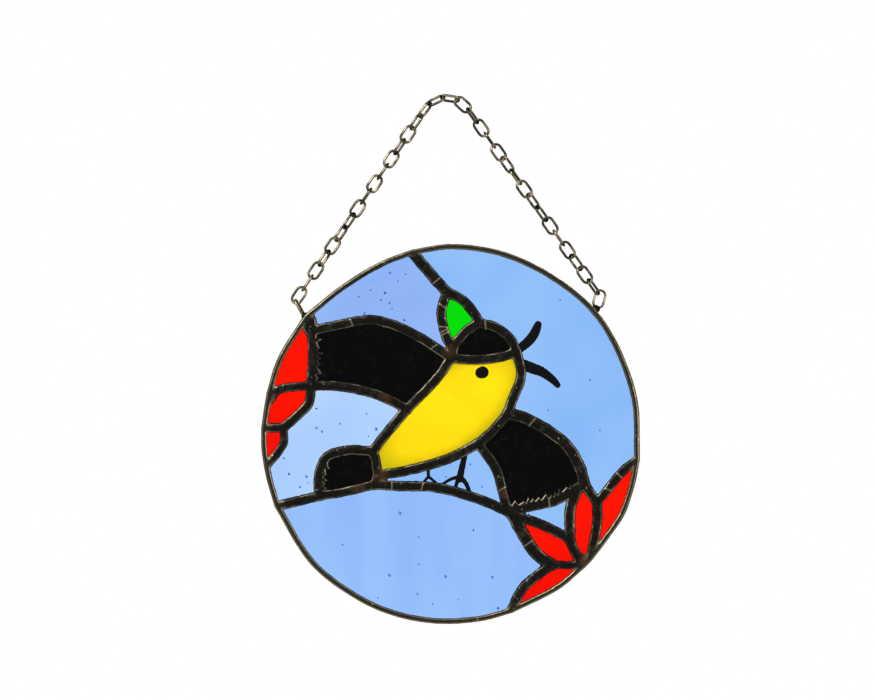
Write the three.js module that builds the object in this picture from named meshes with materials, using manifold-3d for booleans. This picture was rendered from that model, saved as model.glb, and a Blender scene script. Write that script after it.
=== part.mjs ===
// A round suncatcher of stained glass: a bird on a branch among red flowers, hung from a chain.
// Millimetres, +Z up. The panel stands in the XZ plane and its front faces -Y.
// The origin is the underside of the chain's crest, where it hangs on a hook.
import * as THREE from 'three'
import { mergeVertices } from 'three/addons/utils/BufferGeometryUtils.js'
import Module from 'manifold-3d'

const wasm = await Module()
wasm.setup()

// Panel
const PANEL_WIDTH = 152
const GLASS_THICKNESS = 3
const CLEARANCE = 0.3

// Solder between two pieces of glass: a bead on each face and a web between the edges
const BEAD_WIDTH = 4
const BEAD_CREST_WIDTH = 2
const BEAD_HEIGHT = 0.8
const WEB_WIDTH = 0.7

// Solder round the rim
const RIM_WIDTH = 2.4
const RIM_CREST_WIDTH = 1.4
const RIM_HEIGHT = 0.7

// Rings soldered on the rim
const RING_LENGTH = 8
const RING_WIDTH = 5.2
const RING_WIRE = 0.95
const RING_SOLDER_RADIUS = 1.9

// Chain
const LINK_COUNT = 34
const LINK_LENGTH = 8.25
const LINK_WIDTH = 5.4
const LINK_WIRE = 1
const HOOK_BEND_RADIUS = 10

// Fineness of the facets
const CHORD_LENGTH = 10
const WIRE_SIDES = 5
const OVAL_STEPS = 10

// The pattern is drawn in units, with the panel's middle at 0, 0 and the outline PATTERN_WIDTH wide.
const PATTERN_WIDTH = 382
const UNIT = PANEL_WIDTH / PATTERN_WIDTH

// A unit of the pattern on a panel 152 mm wide, for steps that keep their size when the panel's changes
const FIXED_UNIT = 152 / PATTERN_WIDTH

// Where seams meet, as [right, up] in the pattern
const spots = {
  rimStem: [-40, 181],
  rimPetalC: [185, -27],
  rimPetalB: [138.5, -125],
  flowerHeart: [131, -132.7],
  rimPetalD: [59, -177.7],
  rimBranch: [-174.7, -73],
  rimPetalLow: [-185.3, -33],
  rimPetalMiddle: [-188, 5],
  rimPetalUpper: [-182.7, 40.5],
  rimCorner: [-146, 116],
  wingCorner: [-140.5, 102],
  wingFoot: [-141, 47.5],
  petalNotch: [-168.5, 5.5],
  leafTop: [-5.5, 141],
  leafRight: [26.5, 110],
  leafBottom: [0.5, 84.5],
  nape: [-1, 75],
  capRight: [64.5, 81],
  breast: [56, 19.5],
  belly: [26.5, -10.5],
  back: [-45, 24],
  tailTop: [-79.5, -18.5],
  tailRight: [-74, -42.5],
  branchMiddle: [-78, -51.5],
  tailFoot: [-132, -62.5],
  branchEnd: [55.5, -78],
  petalATip: [61.5, -83],
  wingTip: [132, -50.5],
  gapTop: [125.5, -55.5],
  petalCTip: [145, -69.5],
  gapBottom: [118, -106],
  petalDTip: [99.5, -131.5],
}

// Seams between two pieces of glass: the spots at their ends and the points they bend through
const seams = {
  stem: ['rimStem', [[-23.5, 161.5]], 'leafTop'],
  leafLeft: ['leafTop', [[-10.5, 121], [-7, 100]], 'leafBottom'],
  leafRight: ['leafTop', [[11, 132.5], [23, 118]], 'leafRight'],
  leafBottom: ['leafRight', [[15, 102.5], [6.5, 93.5]], 'leafBottom'],
  capLeft: ['leafBottom', [], 'nape'],
  capOuter: ['leafRight', [[43.5, 105.5], [58.5, 93.5]], 'capRight'],
  capBottom: ['nape', [[20, 73.5], [45, 75.5]], 'capRight'],
  wingLeftTop: ['wingCorner', [[-122, 106], [-77, 112.7], [-37, 98]], 'nape'],
  wingLeftEnd: ['wingCorner', [[-139, 76]], 'wingFoot'],
  cornerSeam: ['rimCorner', [], 'wingCorner'],
  petalUpperSeam: ['rimPetalUpper', [[-167, 45]], 'wingFoot'],
  wingLeftBottom: ['wingFoot', [[-117, 47.2], [-82, 40.7], [-62, 33]], 'back'],
  petalMiddleSide: ['wingFoot', [[-143, 30.5], [-154.5, 17.5]], 'petalNotch'],
  petalMiddleSeam: ['rimPetalMiddle', [], 'petalNotch'],
  petalLowSide: ['petalNotch', [[-168.5, -10]], 'rimPetalLow'],
  backUpper: ['nape', [[-15, 55]], 'back'],
  backLower: ['back', [[-65.5, -0.3]], 'tailTop'],
  tailSide: ['tailTop', [[-103, -17.2], [-125.5, -24.5], [-133.5, -47]], 'tailFoot'],
  tailEnd: ['tailTop', [[-76.5, -27]], 'tailRight'],
  tailGap: ['tailRight', [], 'branchMiddle'],
  branchLeft: ['rimBranch', [[-152, -67.5]], 'tailFoot'],
  branchUnderTail: ['tailFoot', [[-108, -58.8]], 'branchMiddle'],
  branchRight: ['branchMiddle', [[-52, -53], [-17, -54.3], [23, -64.8]], 'branchEnd'],
  bellySeam: ['tailRight', [[-42, -36.8], [-2, -25]], 'belly'],
  wingRightFront: ['belly', [[39.5, 1]], 'breast'],
  breastSeam: ['capRight', [[69.2, 58], [60, 32]], 'breast'],
  wingRightTop: ['breast', [[74, 14.3], [112, -10], [127, -33]], 'wingTip'],
  wingRightLeft: ['belly', [[44, -35.5], [50.5, -58]], 'branchEnd'],
  wingRightBottom: ['branchEnd', [[83, -72.5], [103, -67.5]], 'gapTop'],
  wingRightTip: ['gapTop', [], 'wingTip'],
  petalBLeft: ['gapTop', [[118.5, -75]], 'gapBottom'],
  petalAB: ['gapBottom', [[121, -115]], 'flowerHeart'],
  petalATop: ['petalATip', [[85, -89.8]], 'gapBottom'],
  petalABottom: ['petalATip', [[73.5, -105], [85, -121.5]], 'petalDTip'],
  petalAD: ['petalDTip', [], 'flowerHeart'],
  petalDTop: ['rimPetalD', [[71.5, -154.5]], 'petalDTip'],
  petalBTop: ['wingTip', [], 'petalCTip'],
  petalBC: ['petalCTip', [[145, -90]], 'rimPetalB'],
  petalCTop: ['petalCTip', [[156, -56], [172, -37]], 'rimPetalC'],
  petalAFoot: ['branchEnd', [], 'petalATip'],
}

// Stretches of the rim, clockwise seen from the front
const rimStretches = {
  rimUpperRight: ['rimStem', [
    [-2, 186.6], [46, 180.5], [88, 163.2], [125, 138], [148, 114], [169, 76], [183, 31],
  ], 'rimPetalC'],
  rimBesidePetalC: ['rimPetalC', [[179.7, -53], [169.5, -81.5], [151, -108.5]], 'rimPetalB'],
  rimBelowPetalB: ['rimPetalB', [], 'flowerHeart'],
  rimBelowPetalD: ['flowerHeart', [[106.5, -153.5]], 'rimPetalD'],
  rimBottom: ['rimPetalD', [[28, -185.8], [-17, -188], [-61, -179.4], [-100.2, -160.7], [-140, -128.8]],
    'rimBranch'],
  rimLowerLeft: ['rimBranch', [[-181.5, -50]], 'rimPetalLow'],
  rimPetalLower: ['rimPetalLow', [[-187.7, -17]], 'rimPetalMiddle'],
  rimPetalMiddle: ['rimPetalMiddle', [], 'rimPetalUpper'],
  rimPetalUpper: ['rimPetalUpper', [[-171.5, 74.5]], 'rimCorner'],
  rimUpperLeft: ['rimCorner', [[-110.5, 144.7], [-70.7, 169]], 'rimStem'],
}

// Each piece of glass: its colour and the seams round it, in order
const BLUE = 0x94bcfa
const RED = 0xff1400
const GREEN = 0x00e600
const YELLOW = 0xffdc00
const BLACK = 0x060606
const glass = {
  sky_upper_left: [BLUE, 'rimUpperLeft stem leafLeft capLeft wingLeftTop cornerSeam'],
  sky_right: [BLUE, 'rimUpperRight petalCTop petalBTop wingRightTop breastSeam capOuter leafRight stem'],
  leaf_green: [GREEN, 'leafLeft leafRight leafBottom'],
  head_cap: [BLACK, 'leafBottom capLeft capBottom capOuter'],
  body_yellow: [YELLOW, 'capBottom breastSeam wingRightFront bellySeam tailEnd backLower backUpper'],
  wing_left: [BLACK, 'wingLeftTop backUpper wingLeftBottom wingLeftEnd'],
  petal_left_upper: [RED, 'cornerSeam wingLeftEnd petalUpperSeam rimPetalUpper'],
  petal_left_middle: [RED, 'petalUpperSeam petalMiddleSide petalMiddleSeam rimPetalMiddle'],
  petal_left_lower: [RED, 'petalMiddleSeam petalLowSide rimPetalLower'],
  sky_left: [BLUE, 'wingLeftBottom backLower tailSide branchLeft rimLowerLeft petalLowSide petalMiddleSide'],
  tail: [BLACK, 'tailSide tailEnd tailGap branchUnderTail'],
  sky_under_body: [BLUE, 'tailGap branchRight wingRightLeft bellySeam'],
  wing_right: [BLACK, 'wingRightFront wingRightTop wingRightTip wingRightBottom wingRightLeft'],
  sky_gap: [BLUE, 'wingRightBottom petalBLeft petalATop petalAFoot'],
  sky_bottom: [BLUE, 'branchLeft branchUnderTail branchRight petalAFoot petalABottom petalDTop rimBottom'],
  petal_right_a: [RED, 'petalATop petalAB petalAD petalABottom'],
  petal_right_b: [RED, 'wingRightTip petalBTop petalBC rimBelowPetalB petalAB petalBLeft'],
  petal_right_c: [RED, 'petalCTop rimBesidePetalC petalBC'],
  petal_right_d: [RED, 'petalDTop petalAD rimBelowPetalD'],
}

// Where the rings stand on the rim: a place in the pattern and a fixed step from it, to the right and up.
// Then which way each leans, in degrees from straight up to the right, and its roll.
const rings = {
  ring_left: { onRim: spots.rimCorner, step: [1.5, -1], lean: -29, roll: 80 },
  ring_right: { onRim: [142.2, 122.7], step: [0, 0], lean: 15, roll: 0 },
}
const HOOK_OFFSET = -5.2

// How far each link is turned about the chain, in degrees, from lying flat against the view
const linkRolls = [
  -15, 90, 0, 65, -5, 60, -60, 0, 88, 0, 90, -8, 72, 5, -58, 62, -58, 62, -10,
  -72, 12, 90, -10, 50, -74, 0, 60, -62, 0, 90, -8, 52, -10, -68,
]

// A route through given points, cut into straight chords at those points
class Route extends THREE.Curve {
  constructor(points) {
    super()
    this.points = points
  }

  getPointAt(u) {
    return this.points[Math.round(u * (this.points.length - 1))].clone()
  }

  getTangentAt(u) {
    const index = Math.round(u * (this.points.length - 1))
    const before = this.points[Math.max(index - 1, 0)]
    const after = this.points[Math.min(index + 1, this.points.length - 1)]
    return after.clone().sub(before).normalize()
  }
}

function place([right, up]) {
  return new THREE.Vector3(right * UNIT, 0, up * UNIT)
}

// A seam's chord points from its start to its end
function chordPoints([from, between, to]) {
  const knots = [spots[from], ...between, spots[to]].map(place)
  const curve = new THREE.CatmullRomCurve3(knots, false, 'centripetal')
  const chords = Math.max(knots.length - 1, Math.round(curve.getLength() / CHORD_LENGTH))
  return curve.getSpacedPoints(chords)
}

// The same points with both ends pushed out straight by a distance
function lengthened(points, distance) {
  const last = points.length - 1
  const start = points[0].clone().sub(points[1]).setLength(distance).add(points[0])
  const end = points[last].clone().sub(points[last - 1]).setLength(distance).add(points[last])
  return [start, ...points.slice(1, -1), end]
}

// A section swept along points in the panel's plane. Its first number runs to the front of the panel,
// its second across the seam.
function swept(section, points) {
  const shape = new THREE.Shape(section.map(([front, across]) => new THREE.Vector2(front, across)))
  const route = new Route(points)
  return new THREE.ExtrudeGeometry(shape, { steps: points.length - 1, extrudePath: route })
}

function toSolid(geometry) {
  geometry.deleteAttribute('normal')
  geometry.deleteAttribute('uv')
  const merged = mergeVertices(geometry, 1e-4)
  return new wasm.Manifold(new wasm.Mesh({
    numProp: 3,
    vertProperties: new Float32Array(merged.attributes.position.array),
    triVerts: new Uint32Array(merged.index.array),
  }))
}

function toGeometry(solid) {
  const mesh = solid.getMesh()
  const geometry = new THREE.BufferGeometry()
  geometry.setAttribute('position', new THREE.BufferAttribute(new Float32Array(mesh.vertProperties), 3))
  geometry.setIndex(new THREE.BufferAttribute(new Uint32Array(mesh.triVerts), 1))
  geometry.computeVertexNormals()
  return geometry
}

// Sections of the solder: the seam is an I with a bead at each end, the rim is filled on its outer side
const FACE = GLASS_THICKNESS / 2 + CLEARANCE
const SEAM_CREST = FACE + BEAD_HEIGHT
const RIM_CREST = FACE + RIM_HEIGHT
const seamSection = [
  [SEAM_CREST, -BEAD_CREST_WIDTH / 2],
  [SEAM_CREST, BEAD_CREST_WIDTH / 2],
  [FACE, BEAD_WIDTH / 2],
  [FACE, WEB_WIDTH / 2],
  [-FACE, WEB_WIDTH / 2],
  [-FACE, BEAD_WIDTH / 2],
  [-SEAM_CREST, BEAD_CREST_WIDTH / 2],
  [-SEAM_CREST, -BEAD_CREST_WIDTH / 2],
  [-FACE, -BEAD_WIDTH / 2],
  [-FACE, -WEB_WIDTH / 2],
  [FACE, -WEB_WIDTH / 2],
  [FACE, -BEAD_WIDTH / 2],
]
const rimSection = [
  [RIM_CREST, -RIM_CREST_WIDTH / 2],
  [RIM_CREST, RIM_CREST_WIDTH / 2],
  [FACE, RIM_WIDTH / 2],
  [FACE, WEB_WIDTH / 2],
  [-FACE, WEB_WIDTH / 2],
  [-FACE, RIM_WIDTH / 2],
  [-RIM_CREST, RIM_CREST_WIDTH / 2],
  [-RIM_CREST, -RIM_CREST_WIDTH / 2],
  [-FACE, -RIM_WIDTH / 2],
  [FACE, -RIM_WIDTH / 2],
]
const KERF = WEB_WIDTH / 2 + CLEARANCE
const kerfSection = [
  [GLASS_THICKNESS, -KERF],
  [GLASS_THICKNESS, KERF],
  [-GLASS_THICKNESS, KERF],
  [-GLASS_THICKNESS, -KERF],
]

const routes = {}
const kerfs = {}
for (const [name, seam] of Object.entries({ ...seams, ...rimStretches })) {
  routes[name] = { from: seam[0], to: seam[2], points: chordPoints(seam) }
  kerfs[name] = toSolid(swept(kerfSection, lengthened(routes[name].points, KERF)))
}

// The outline of a piece of glass, walked from seam to seam
function outline(names) {
  const first = routes[names[0]]
  const last = routes[names[names.length - 1]]
  let at = [last.from, last.to].includes(first.from) ? first.from : first.to
  const walked = []
  for (const name of names) {
    const { from, to, points } = routes[name]
    const onward = from === at ? points : [...points].reverse()
    walked.push(...onward.slice(0, -1))
    at = from === at ? to : from
  }
  return walked
}

// A piece of glass: its outline, less the kerf along each seam
function glassPiece(names) {
  const shape = new THREE.Shape(outline(names).map(({ x, z }) => new THREE.Vector2(x, z)))
  const plate = new THREE.ExtrudeGeometry(shape, { depth: GLASS_THICKNESS, bevelEnabled: false })
  plate.translate(0, 0, -GLASS_THICKNESS / 2)
  plate.rotateX(Math.PI / 2)
  return names.reduce((piece, name) => piece.subtract(kerfs[name]), toSolid(plate))
}

// A ring or link of round wire: two half circles and two straights, long way along X, flat in XY
function wireOval(length, width, wire) {
  const bend = (width - wire) / 2
  const straight = (length - width) / 2
  const geometry = new THREE.TorusGeometry(bend, wire / 2, WIRE_SIDES, OVAL_STEPS)
  const position = geometry.attributes.position
  for (let i = 0; i < position.count; i += 1) {
    position.setX(i, position.getX(i) + Math.sign(position.getX(i)) * straight)
  }
  return geometry
}

// Turns an oval's long way to a direction in the panel's plane, then rolls it about that direction
function turnOval(object, direction, roll) {
  const across = new THREE.Vector3(-direction.z, 0, direction.x)
  const normal = new THREE.Vector3().crossVectors(direction, across)
  const turned = new THREE.Quaternion().setFromRotationMatrix(
    new THREE.Matrix4().makeBasis(direction, across, normal))
  const rolled = new THREE.Quaternion().setFromAxisAngle(direction, THREE.MathUtils.degToRad(roll))
  object.quaternion.multiplyQuaternions(rolled, turned)
}

function ringPlace({ onRim, step, lean }) {
  const rimPoint = place(onRim).add(new THREE.Vector3(step[0], 0, step[1]).multiplyScalar(FIXED_UNIT))
  const outward = rimPoint.clone().normalize()
  const foot = rimPoint.addScaledVector(outward, RIM_WIDTH / 2 + RING_WIRE / 2)
  const angle = THREE.MathUtils.degToRad(lean)
  const upward = new THREE.Vector3(Math.sin(angle), 0, Math.cos(angle))
  const centre = foot.clone().addScaledVector(upward, (RING_LENGTH - RING_WIRE) / 2)
  return { foot, upward, centre }
}

const metal = new THREE.MeshStandardMaterial({ color: 0x3a342c, roughness: 0.45, metalness: 0.9 })
const solder = new THREE.MeshStandardMaterial({ color: 0x2d2820, roughness: 0.4, metalness: 0.85 })

// The panel: glass, solder and rings
const panel = new THREE.Group()
let net = null
for (const [name, { points }] of Object.entries(routes)) {
  const section = name in rimStretches ? rimSection : seamSection
  const bead = toSolid(swept(section, lengthened(points, WEB_WIDTH / 2)))
  net = net ? net.add(bead) : bead
}
for (const [name, ring] of Object.entries(rings)) {
  const { foot, upward, centre } = ringPlace(ring)
  const blob = new THREE.SphereGeometry(RING_SOLDER_RADIUS, 10, 6)
  blob.translate(foot.x, foot.y, foot.z)
  const groove = new THREE.Mesh(
    wireOval(RING_LENGTH + 2 * CLEARANCE, RING_WIDTH + 2 * CLEARANCE, RING_WIRE + 2 * CLEARANCE))
  turnOval(groove, upward, ring.roll)
  groove.position.copy(centre)
  groove.updateMatrix()
  groove.geometry.applyMatrix4(groove.matrix)
  net = net.add(toSolid(blob)).subtract(toSolid(groove.geometry))

  const mesh = new THREE.Mesh(wireOval(RING_LENGTH, RING_WIDTH, RING_WIRE), metal)
  mesh.name = name
  turnOval(mesh, upward, ring.roll)
  mesh.position.copy(centre)
  panel.add(mesh)
}
const netMesh = new THREE.Mesh(toGeometry(net), solder)
netMesh.name = 'solder_net'
panel.add(netMesh)

for (const [name, [colour, ringOfSeams]] of Object.entries(glass)) {
  const clear = new THREE.MeshStandardMaterial({ color: colour, roughness: 0.1, metalness: 0 })
  const mesh = new THREE.Mesh(toGeometry(glassPiece(ringOfSeams.split(' '))), clear)
  mesh.name = name
  panel.add(mesh)
}

// Where a ring's wire holds the chain: the point of its round end that is nearest to the pull
function holdPoint(ring, pulledTo) {
  const bendMiddle = new THREE.Vector3((RING_LENGTH - RING_WIDTH) / 2, 0, 0)
    .applyQuaternion(ring.quaternion)
    .add(ring.position)
  const normal = new THREE.Vector3(0, 0, 1).applyQuaternion(ring.quaternion)
  return pulledTo.clone()
    .sub(bendMiddle)
    .projectOnPlane(normal)
    .setLength((RING_WIDTH - RING_WIRE) / 2)
    .add(bendMiddle)
}

// The chain runs straight from each ring to the hook and bends round it. Its end links reach past
// the rings' wire by half a wire and half the clearance.
const LINK_PITCH = LINK_LENGTH - 2 * LINK_WIRE - CLEARANCE
const END_REACH = (LINK_WIRE + CLEARANCE) / 2
const CHAIN_LENGTH = LINK_COUNT * LINK_PITCH - 2 * END_REACH

// The chain's ends, its two straight runs, and the angles between which it bends
function chainPath(bendCentre) {
  const start = holdPoint(panel.getObjectByName('ring_left'), bendCentre)
  const end = holdPoint(panel.getObjectByName('ring_right'), bendCentre)
  const toStart = start.clone().sub(bendCentre)
  const toEnd = end.clone().sub(bendCentre)
  const startAngle = Math.atan2(toStart.z, toStart.x) - Math.acos(HOOK_BEND_RADIUS / toStart.length())
  const endAngle = Math.atan2(toEnd.z, toEnd.x) + Math.acos(HOOK_BEND_RADIUS / toEnd.length())
  const turn = THREE.MathUtils.euclideanModulo(startAngle - endAngle, 2 * Math.PI)
  const rise = Math.sqrt(toStart.lengthSq() - HOOK_BEND_RADIUS ** 2)
  const fall = Math.sqrt(toEnd.lengthSq() - HOOK_BEND_RADIUS ** 2)
  const length = rise + turn * HOOK_BEND_RADIUS + fall
  return { start, end, startAngle, endAngle, turn, rise, fall, length }
}

// The hook's height follows from the chain's length
let low = PANEL_WIDTH / 2
let high = low + CHAIN_LENGTH
const bendCentre = new THREE.Vector3(HOOK_OFFSET * UNIT, 0, low)
for (let halving = 0; halving < 40; halving += 1) {
  bendCentre.z = (low + high) / 2
  if (chainPath(bendCentre).length > CHAIN_LENGTH) {
    high = bendCentre.z
  } else {
    low = bendCentre.z
  }
}
const path = chainPath(bendCentre)

function onBend(angle) {
  return new THREE.Vector3(Math.cos(angle), 0, Math.sin(angle))
    .multiplyScalar(HOOK_BEND_RADIUS)
    .add(bendCentre)
}

function alongChain(distance) {
  if (distance < path.rise) {
    return path.start.clone().lerp(onBend(path.startAngle), distance / path.rise)
  }
  const pastRise = distance - path.rise
  if (pastRise < path.turn * HOOK_BEND_RADIUS) {
    return onBend(path.startAngle - pastRise / HOOK_BEND_RADIUS)
  }
  const pastBend = pastRise - path.turn * HOOK_BEND_RADIUS
  return onBend(path.endAngle).lerp(path.end, pastBend / path.fall)
}

const chain = new THREE.Group()
for (let index = 0; index < LINK_COUNT; index += 1) {
  const from = alongChain(index * LINK_PITCH - END_REACH)
  const to = alongChain((index + 1) * LINK_PITCH - END_REACH)
  const link = new THREE.Mesh(wireOval(LINK_LENGTH, LINK_WIDTH, LINK_WIRE), metal)
  link.name = `link_${String(index + 1).padStart(2, '0')}`
  turnOval(link, to.clone().sub(from).normalize(), linkRolls[index % linkRolls.length])
  link.position.lerpVectors(from, to, 0.5)
  chain.add(link)
}

const suncatcher = new THREE.Group()
suncatcher.add(panel, chain)
suncatcher.position.set(-bendCentre.x, 0, LINK_WIRE / 2 - HOOK_BEND_RADIUS - bendCentre.z)

export default suncatcher
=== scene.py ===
import math
import bmesh
import bpy
import numpy as np
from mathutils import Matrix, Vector


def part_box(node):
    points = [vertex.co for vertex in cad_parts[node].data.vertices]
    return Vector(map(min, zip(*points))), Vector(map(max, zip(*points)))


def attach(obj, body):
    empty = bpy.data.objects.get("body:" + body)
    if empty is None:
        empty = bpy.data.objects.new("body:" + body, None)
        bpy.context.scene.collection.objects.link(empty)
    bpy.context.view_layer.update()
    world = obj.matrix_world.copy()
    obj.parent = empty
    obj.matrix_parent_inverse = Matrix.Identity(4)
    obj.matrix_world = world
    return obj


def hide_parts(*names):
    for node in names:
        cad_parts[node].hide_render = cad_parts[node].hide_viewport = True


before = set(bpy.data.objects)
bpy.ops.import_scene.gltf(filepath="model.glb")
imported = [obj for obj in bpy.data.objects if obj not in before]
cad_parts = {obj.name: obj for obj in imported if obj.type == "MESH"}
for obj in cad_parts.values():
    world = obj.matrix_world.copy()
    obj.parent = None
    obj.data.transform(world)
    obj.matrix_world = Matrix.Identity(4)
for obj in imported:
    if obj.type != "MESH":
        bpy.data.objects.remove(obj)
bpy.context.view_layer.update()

# Sizes in metres
PATTERN_UNIT = 0.152 / 382
GLASS = 0.003
FACE = GLASS / 2 + 0.0003
WEB_WIDTH = 0.0007
BEAD_WIDTH = 0.004
BEAD_HEIGHT = 0.00078
RIM_WIDTH = 0.0021
RIM_HEIGHT = 0.0006
RIM_INSET = 0.00012
CHORD_LENGTH = 0.010
# The yellow body's middle, lean and half sizes, which shape the painted shade along its outline.
BODY_MIDDLE, BODY_LEAN = (449, 411), math.radians(38)
BODY_HALF_LENGTH, BODY_HALF_WIDTH = 0.0345, 0.0155
PHOTO_MIDDLE = (452, 433)
GRID = 0.0003
SEAM_STEP = 0.0009
SEAM_SURROUND = 0.0065
BEAD_SINK = 0.00028
RIM_STARTS, RIM_BLEND = 0.0715, 0.002
LAP_HEIGHT, LAP_WIDTH, LAP_REACH = 0.00013, 0.00022, 0.0023
EDGE_BULGE, EDGE_STEPS, EDGE_SIDES = 0.0009, 560, 20
LINK_LENGTH, LINK_WIDTH, LINK_WIRE = 0.00815, 0.0051, 0.00105
RING_LENGTH, RING_WIDTH, RING_WIRE = 0.0079, 0.0049, 0.00095
WIRE_STEPS, WIRE_SIDES = 48, 12
RING_SOLDER = 0.0017
PAINT_HEIGHT = 0.0002
SEED_UNIT = 0.00018
LINK_COUNT = 34

# Where seams meet, as (right, up) in the pattern
SPOTS = {
    "rimStem": (-40, 181), "rimPetalC": (185, -27), "rimPetalB": (138.5, -125),
    "flowerHeart": (131, -132.7), "rimPetalD": (59, -177.7), "rimBranch": (-174.7, -73),
    "rimPetalLow": (-185.3, -33), "rimPetalMiddle": (-188, 5), "rimPetalUpper": (-182.7, 40.5),
    "rimCorner": (-146, 116), "wingCorner": (-140.5, 102), "wingFoot": (-141, 47.5),
    "petalNotch": (-168.5, 5.5), "leafTop": (-5.5, 141), "leafRight": (26.5, 110),
    "leafBottom": (0.5, 84.5), "nape": (-1, 75), "capRight": (64.5, 81), "breast": (56, 19.5),
    "belly": (26.5, -10.5), "back": (-45, 24), "tailTop": (-79.5, -18.5),
    "tailRight": (-74, -42.5), "branchMiddle": (-78, -51.5), "tailFoot": (-132, -62.5),
    "branchEnd": (55.5, -78), "petalATip": (61.5, -83), "wingTip": (132, -50.5),
    "gapTop": (125.5, -55.5), "petalCTip": (145, -69.5), "gapBottom": (118, -106),
    "petalDTip": (99.5, -131.5),
}

# Seams between two pieces of glass: the spots at their ends and the points they bend through
SEAMS = {
    "stem": ("rimStem", [(-23.5, 161.5)], "leafTop"),
    "leafLeft": ("leafTop", [(-10.5, 121), (-7, 100)], "leafBottom"),
    "leafRight": ("leafTop", [(11, 132.5), (23, 118)], "leafRight"),
    "leafBottom": ("leafRight", [(15, 102.5), (6.5, 93.5)], "leafBottom"),
    "capLeft": ("leafBottom", [], "nape"),
    "capOuter": ("leafRight", [(43.5, 105.5), (58.5, 93.5)], "capRight"),
    "capBottom": ("nape", [(20, 73.5), (45, 75.5)], "capRight"),
    "wingLeftTop": ("wingCorner", [(-122, 106), (-77, 112.7), (-37, 98)], "nape"),
    "wingLeftEnd": ("wingCorner", [(-139, 76)], "wingFoot"),
    "cornerSeam": ("rimCorner", [], "wingCorner"),
    "petalUpperSeam": ("rimPetalUpper", [(-167, 45)], "wingFoot"),
    "wingLeftBottom": ("wingFoot", [(-117, 47.2), (-82, 40.7), (-62, 33)], "back"),
    "petalMiddleSide": ("wingFoot", [(-143, 30.5), (-154.5, 17.5)], "petalNotch"),
    "petalMiddleSeam": ("rimPetalMiddle", [], "petalNotch"),
    "petalLowSide": ("petalNotch", [(-168.5, -10)], "rimPetalLow"),
    "backUpper": ("nape", [(-15, 55)], "back"),
    "backLower": ("back", [(-65.5, -0.3)], "tailTop"),
    "tailSide": ("tailTop", [(-103, -17.2), (-125.5, -24.5), (-133.5, -47)], "tailFoot"),
    "tailEnd": ("tailTop", [(-76.5, -27)], "tailRight"),
    "tailGap": ("tailRight", [], "branchMiddle"),
    "branchLeft": ("rimBranch", [(-152, -67.5)], "tailFoot"),
    "branchUnderTail": ("tailFoot", [(-108, -58.8)], "branchMiddle"),
    "branchRight": ("branchMiddle", [(-52, -53), (-17, -54.3), (23, -64.8)], "branchEnd"),
    "bellySeam": ("tailRight", [(-42, -36.8), (-2, -25)], "belly"),
    "wingRightFront": ("belly", [(39.5, 1)], "breast"),
    "breastSeam": ("capRight", [(69.2, 58), (60, 32)], "breast"),
    "wingRightTop": ("breast", [(74, 14.3), (112, -10), (127, -33)], "wingTip"),
    "wingRightLeft": ("belly", [(44, -35.5), (50.5, -58)], "branchEnd"),
    "wingRightBottom": ("branchEnd", [(83, -72.5), (103, -67.5)], "gapTop"),
    "wingRightTip": ("gapTop", [], "wingTip"),
    "petalBLeft": ("gapTop", [(118.5, -75)], "gapBottom"),
    "petalAB": ("gapBottom", [(121, -115)], "flowerHeart"),
    "petalATop": ("petalATip", [(85, -89.8)], "gapBottom"),
    "petalABottom": ("petalATip", [(73.5, -105), (85, -121.5)], "petalDTip"),
    "petalAD": ("petalDTip", [], "flowerHeart"),
    "petalDTop": ("rimPetalD", [(71.5, -154.5)], "petalDTip"),
    "petalBTop": ("wingTip", [], "petalCTip"),
    "petalBC": ("petalCTip", [(145, -90)], "rimPetalB"),
    "petalCTop": ("petalCTip", [(156, -56), (172, -37)], "rimPetalC"),
    "petalAFoot": ("branchEnd", [], "petalATip"),
}

# Stretches of the rim, clockwise seen from the front
RIM = {
    "rimUpperRight": ("rimStem", [(-2, 186.6), (46, 180.5), (88, 163.2), (125, 138), (148, 114),
                                  (169, 76), (183, 31)], "rimPetalC"),
    "rimBesidePetalC": ("rimPetalC", [(179.7, -53), (169.5, -81.5), (151, -108.5)], "rimPetalB"),
    "rimBelowPetalB": ("rimPetalB", [], "flowerHeart"),
    "rimBelowPetalD": ("flowerHeart", [(106.5, -153.5)], "rimPetalD"),
    "rimBottom": ("rimPetalD", [(28, -185.8), (-17, -188), (-61, -179.4), (-100.2, -160.7),
                                (-140, -128.8)], "rimBranch"),
    "rimLowerLeft": ("rimBranch", [(-181.5, -50)], "rimPetalLow"),
    "rimPetalLower": ("rimPetalLow", [(-187.7, -17)], "rimPetalMiddle"),
    "rimPetalMiddle": ("rimPetalMiddle", [], "rimPetalUpper"),
    "rimPetalUpper": ("rimPetalUpper", [(-171.5, 74.5)], "rimCorner"),
    "rimUpperLeft": ("rimCorner", [(-110.5, 144.7), (-70.7, 169)], "rimStem"),
}

# Seams that were run wider than the rest, as shares of the usual width
WIDE = {"stem": 1.12, "wingRightTop": 1.2, "petalABottom": 1.25, "petalBLeft": 1.1, "capLeft": 1.15,
        "petalMiddleSide": 0.98, "branchUnderTail": 0.95, "cornerSeam": 1.4, "petalMiddleSeam": 0.95,
        "petalLowSide": 0.85, "petalUpperSeam": 0.9, "petalAD": 0.8, "petalCTop": 0.9}

# Seams whose foil is cut into feather tips on their left, and between which shares of their length
FEATHERED = {"wingLeftEnd": (0.15, 0.95), "tailSide": (0.6, 0.97), "wingRightBottom": (0.05, 0.95)}
FEATHER_PITCH = 0.0024
FEATHER_DEPTH = 0.0026

# Laps left across the beads where the iron was lifted, as places in the pattern
LAPS = [(-12, 155), (-9, 127), (-6, 103), (-2.5, 101), (-20, 84), (-60, -54), (48, -56), (80, 11),
        (97, -70), (154, -55), (164, -40), (-8.5, 106), (34, 112), (-101, 111), (-30, -55), (76, -110)]
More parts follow.
